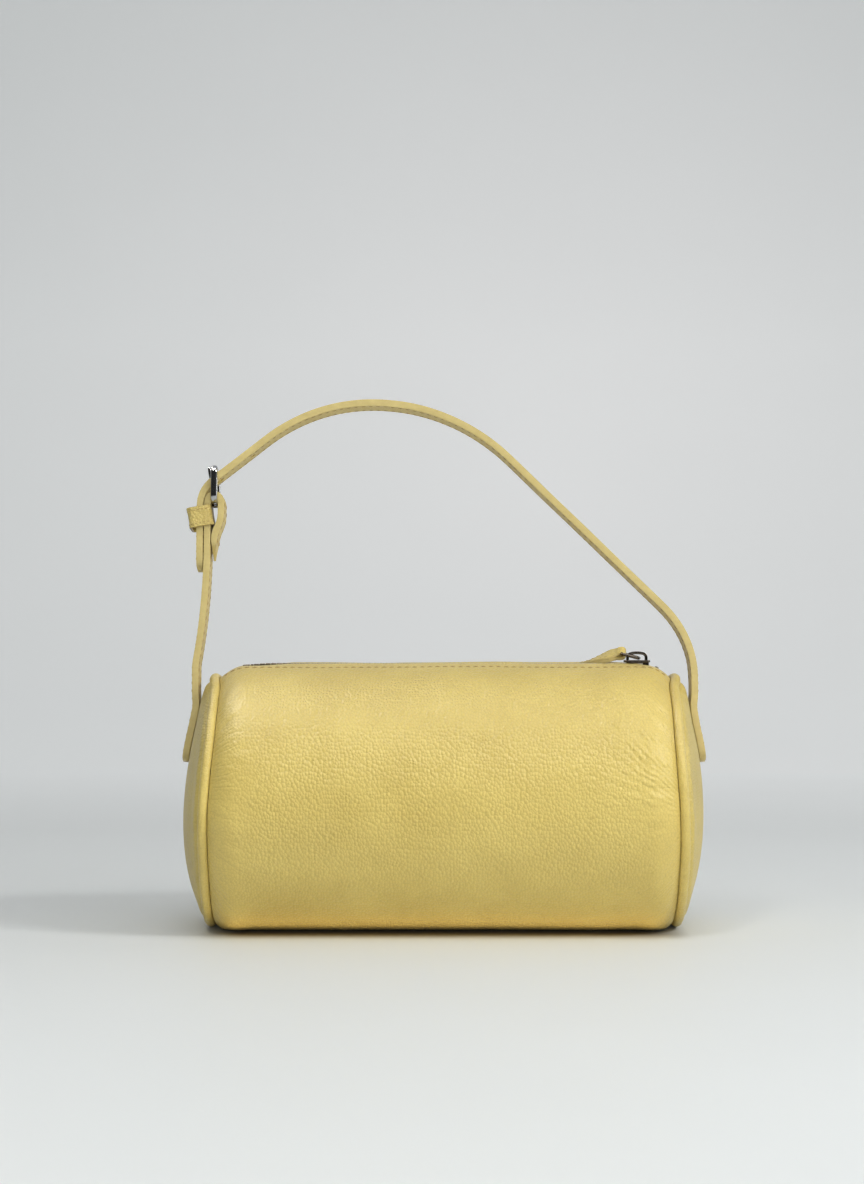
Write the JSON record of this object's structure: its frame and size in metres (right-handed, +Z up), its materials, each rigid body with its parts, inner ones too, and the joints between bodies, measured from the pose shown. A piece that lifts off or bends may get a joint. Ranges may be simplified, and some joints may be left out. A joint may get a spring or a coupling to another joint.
{
  "type": "barrel bag",
  "caption": "Round leather bag lying on its side, with domed piped ends, a zip along the top and a long buckled handle strap.",
  "frame": {"origin": "under the middle of the bag, on the surface that it stands on", "axes": "+X along the barrel towards the plain end of the handle, +Z up, -Y the front"},
  "size_m": [0.2608, 0.132, 0.2588],
  "materials": {
    "leather": "pebbled, satin",
    "piping_leather": "pebbled, satin",
    "stiffener": "matte",
    "board": "matte",
    "lining": "woven",
    "cord": "twisted",
    "zip_tape": "woven",
    "zip_metal": "polished",
    "buckle_metal": "polished",
    "thread": "twisted"
  },
  "bodies": {
    "root": {"barrel_panel": "leather", "end_panel_left": "leather", "end_panel_right": "leather", "strap_tail_left": "leather", "strap_tail_right": "leather", "piping_cover_left": "piping_leather", "piping_cover_right": "piping_leather", "panel_stiffener": "stiffener", "end_stiffener_left": "stiffener", "end_stiffener_right": "stiffener", "base_board": "board", "barrel_lining": "lining", "end_lining_left": "lining", "end_lining_right": "lining", "piping_cord_left": "cord", "piping_cord_right": "cord", "zip_tape_front": "zip_tape", "zip_tape_back": "zip_tape", "zip_teeth_front": "zip_metal", "zip_teeth_back": "zip_metal", "zip_top_stops": "zip_metal", "zip_bottom_stop": "zip_metal", "zip_stitching": "thread", "tail_stitching": "thread"},
    "handle": {"short_strap": "leather", "long_strap": "leather", "keeper_loop": "leather"},
    "buckle_frame": {"buckle_frame": "buckle_metal"},
    "buckle_prong": {"buckle_prong": "buckle_metal"},
    "zip_slider": {"zip_slider": "zip_metal"},
    "pull_link": {"pull_link": "zip_metal"},
    "pull_tab": {"pull_tab": "leather"}
  },
  "joints": [
    {"name": "handle_swing", "type": "hinge", "parent": "root", "child": "handle", "pos_m": [0, 0, 0.1175], "axis": [1, 0, 0], "range_deg": [-56, 68]},
    {"name": "buckle_tilt", "type": "hinge", "parent": "handle", "child": "buckle_frame", "pos_m": [-0.11331, 0.00951, 0.208], "axis": [0, -0.9945, 0.1045], "range_deg": [-2, 5]},
    {"name": "prong_lift", "type": "hinge", "parent": "buckle_frame", "child": "buckle_prong", "pos_m": [-0.11331, 0.00951, 0.208], "axis": [0, -0.9945, 0.1045], "range_deg": [0, 5]},
    {"name": "zip_slide", "type": "slide", "parent": "root", "child": "zip_slider", "axis": [1, 0, 0], "range_m": [-0.181, 0], "deforming": ["zip_teeth_front", "zip_teeth_back"]},
    {"name": "link_flip", "type": "hinge", "parent": "zip_slider", "child": "pull_link", "pos_m": [0.09504, 0, 0.1313], "axis": [0.2079, 0.9781, 0], "range_deg": [0, 75]},
    {"name": "tab_flip", "type": "hinge", "parent": "pull_link", "child": "pull_tab", "pos_m": [0.08673, 0.00177, 0.13358], "axis": [0.2079, 0.9781, 0], "range_deg": [0, 70]}
  ]
}
